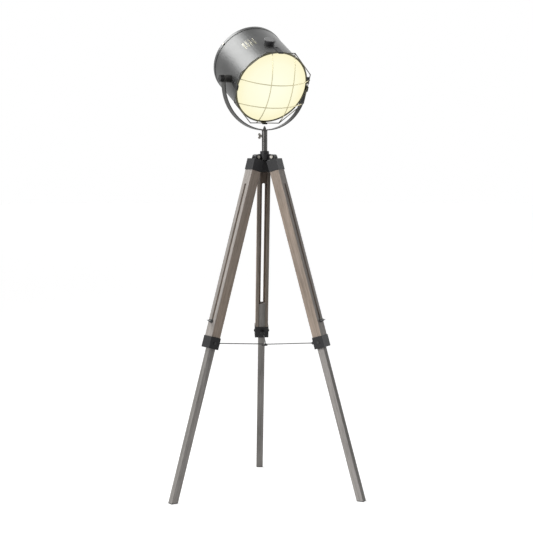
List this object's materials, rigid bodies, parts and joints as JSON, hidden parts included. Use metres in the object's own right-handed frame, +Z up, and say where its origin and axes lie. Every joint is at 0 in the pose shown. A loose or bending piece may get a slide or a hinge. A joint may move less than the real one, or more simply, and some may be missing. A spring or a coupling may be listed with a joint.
{
  "type": "tripod floor lamp",
  "caption": "Spotlight floor lamp: a drum head with a wire guard, tilting in a U-shaped yoke on a post, on a folding wooden tripod with sliding lower legs and a rod spreader.",
  "frame": {"origin": "on the floor, under the middle of the lamp's outline as stored", "axes": "+Z up, the rear leg towards +Y, +X to the right seen from the front; the head faces -Y, turned to the lamp's left and tilted down as stored"},
  "size_m": [0.6312, 0.5466, 1.5173],
  "materials": {
    "upper_wood": "weathered, matt",
    "lower_wood": "weathered, matt",
    "black_steel": "satin black",
    "gunmetal": "satin gunmetal",
    "dark_steel": "satin",
    "bright_steel": "plated",
    "rod_steel": "plated",
    "knob_black": "matt",
    "frosted_glass": "frosted",
    "bulb_glass": "opal",
    "bulb_metal": "plain",
    "holder_plastic": "matt",
    "black_rubber": "matt"
  },
  "bodies": {
    "stand": {"hub": "black_steel", "post_tube": "gunmetal", "post_collar": "black_steel", "leg_hinge_bolts": "bright_steel"},
    "post_screw": {"post_wing_screw": "bright_steel"},
    "yoke": {"yoke_strap": "dark_steel", "yoke_spigot": "gunmetal", "yoke_cap_nut": "gunmetal"},
    "head": {"drum_shell": "gunmetal", "rear_lid": "gunmetal", "rear_lid_screws": "bright_steel", "front_bezel": "gunmetal", "diffuser_lens": "frosted_glass", "lens_gasket": "black_rubber", "wire_guard": "dark_steel", "guard_clips": "dark_steel", "guard_clip_screws": "bright_steel", "top_vent_cap": "gunmetal", "tilt_bolts": "bright_steel", "tilt_spacers": "dark_steel", "lamp_holder": "holder_plastic", "holder_screw_shell": "bulb_metal", "holder_bracket": "dark_steel", "bracket_screws": "bright_steel", "bulb_cap": "bulb_metal", "bulb_globe": "bulb_glass", "cable_gland": "knob_black"},
    "left_knob": {"left_tilt_knob": "knob_black"},
    "right_knob": {"right_tilt_knob": "knob_black"},
    "rear_leg": {"rear_leg_cap": "black_steel", "rear_upper_leg": "upper_wood", "rear_clamp_sleeve": "black_steel", "rear_sleeve_screws": "bright_steel", "rear_spreader_pin": "bright_steel"},
    "rear_rod": {"rear_spreader_rod": "rod_steel", "spreader_plate": "rod_steel"},
    "rear_foot": {"rear_lower_leg": "lower_wood", "rear_foot_pad": "black_rubber"},
    "rear_screw": {"rear_leg_wing_screw": "bright_steel"},
    "left_leg": {"left_leg_cap": "black_steel", "left_upper_leg": "upper_wood", "left_clamp_sleeve": "black_steel", "left_sleeve_screws": "bright_steel", "left_spreader_pin": "bright_steel"},
    "left_rod": {"left_spreader_rod": "rod_steel"},
    "left_foot": {"left_lower_leg": "lower_wood", "left_foot_pad": "black_rubber"},
    "left_screw": {"left_leg_wing_screw": "bright_steel"},
    "right_leg": {"right_leg_cap": "black_steel", "right_upper_leg": "upper_wood", "right_clamp_sleeve": "black_steel", "right_sleeve_screws": "bright_steel", "right_spreader_pin": "bright_steel"},
    "right_rod": {"right_spreader_rod": "rod_steel"},
    "right_foot": {"right_lower_leg": "lower_wood", "right_foot_pad": "black_rubber"},
    "right_screw": {"right_leg_wing_screw": "bright_steel"}
  },
  "joints": [
    {"name": "head_pan", "type": "hinge", "parent": "stand", "child": "yoke", "pos_m": [0, -0.08474, 1.1784], "axis": [0, 0, 1], "range_deg": [-170, 170]},
    {"name": "head_tilt", "type": "hinge", "parent": "yoke", "child": "head", "pos_m": [0, -0.08474, 1.344], "axis": [0.9219, 0.3875, 0], "range_deg": [-60, 62]},
    {"name": "left_tilt_knob_turn", "type": "hinge", "parent": "head", "child": "left_knob", "pos_m": [-0.14012, -0.14365, 1.344], "axis": [-0.9219, -0.3875, 0], "range_deg": [-180, 180]},
    {"name": "right_tilt_knob_turn", "type": "hinge", "parent": "head", "child": "right_knob", "pos_m": [0.14012, -0.02584, 1.344], "axis": [0.9219, 0.3875, 0], "range_deg": [-180, 180]},
    {"name": "post_wing_screw_turn", "type": "hinge", "parent": "stand", "child": "post_screw", "pos_m": [-0.01, -0.08474, 1.162], "axis": [-1, 0, 0], "range_deg": [-180, 180]},
    {"name": "rear_leg_fold", "type": "hinge", "parent": "stand", "child": "rear_leg", "pos_m": [0, -0.05274, 1.0946], "axis": [-1, 0, 0], "range_deg": [0, 9]},
    {"name": "rear_rod_swing", "type": "hinge", "parent": "rear_leg", "child": "rear_rod", "pos_m": [0.004, 0.09225, 0.49838], "axis": [1, 0, 0], "range_deg": [0, 99]},
    {"name": "rear_leg_slide", "type": "slide", "parent": "rear_leg", "child": "rear_foot", "axis": [0, -0.279, 0.9603], "range_m": [0, 0.44]},
    {"name": "rear_wing_screw_turn", "type": "hinge", "parent": "rear_foot", "child": "rear_screw", "pos_m": [0, 0.11607, 0.57195], "axis": [0, 0.9603, 0.279], "range_deg": [-180, 180]},
    {"name": "left_leg_fold", "type": "hinge", "parent": "stand", "child": "left_leg", "pos_m": [-0.02771, -0.10074, 1.0946], "axis": [0.5, -0.866, 0], "range_deg": [0, 9]},
    {"name": "left_rod_swing", "type": "hinge", "parent": "left_leg", "child": "left_rod", "pos_m": [-0.15528, -0.16978, 0.49838], "axis": [-0.5, 0.866, 0], "range_deg": [0, 99]},
    {"name": "left_leg_slide", "type": "slide", "parent": "left_leg", "child": "left_foot", "axis": [0.2416, 0.1395, 0.9603], "range_m": [0, 0.44]},
    {"name": "left_wing_screw_turn", "type": "hinge", "parent": "left_foot", "child": "left_screw", "pos_m": [-0.17391, -0.18515, 0.57195], "axis": [-0.8316, -0.4801, 0.279], "range_deg": [-180, 180]},
    {"name": "right_leg_fold", "type": "hinge", "parent": "stand", "child": "right_leg", "pos_m": [0.02771, -0.10074, 1.0946], "axis": [0.5, 0.866, 0], "range_deg": [0, 9]},
    {"name": "right_rod_swing", "type": "hinge", "parent": "right_leg", "child": "right_rod", "pos_m": [0.15128, -0.17671, 0.49838], "axis": [-0.5, -0.866, 0], "range_deg": [0, 99]},
    {"name": "right_leg_slide", "type": "slide", "parent": "right_leg", "child": "right_foot", "axis": [-0.2416, 0.1395, 0.9603], "range_m": [0, 0.44]},
    {"name": "right_wing_screw_turn", "type": "hinge", "parent": "right_foot", "child": "right_screw", "pos_m": [0.17391, -0.18515, 0.57195], "axis": [0.8316, -0.4801, 0.279], "range_deg": [-180, 180]}
  ],
  "couplings": [
    {"joint": "rear_rod_swing", "follows": "rear_leg_fold", "ratio": 11},
    {"joint": "left_leg_fold", "follows": "rear_leg_fold", "ratio": 1},
    {"joint": "left_rod_swing", "follows": "rear_leg_fold", "ratio": 11},
    {"joint": "right_leg_fold", "follows": "rear_leg_fold", "ratio": 1},
    {"joint": "right_rod_swing", "follows": "rear_leg_fold", "ratio": 11}
  ]
}
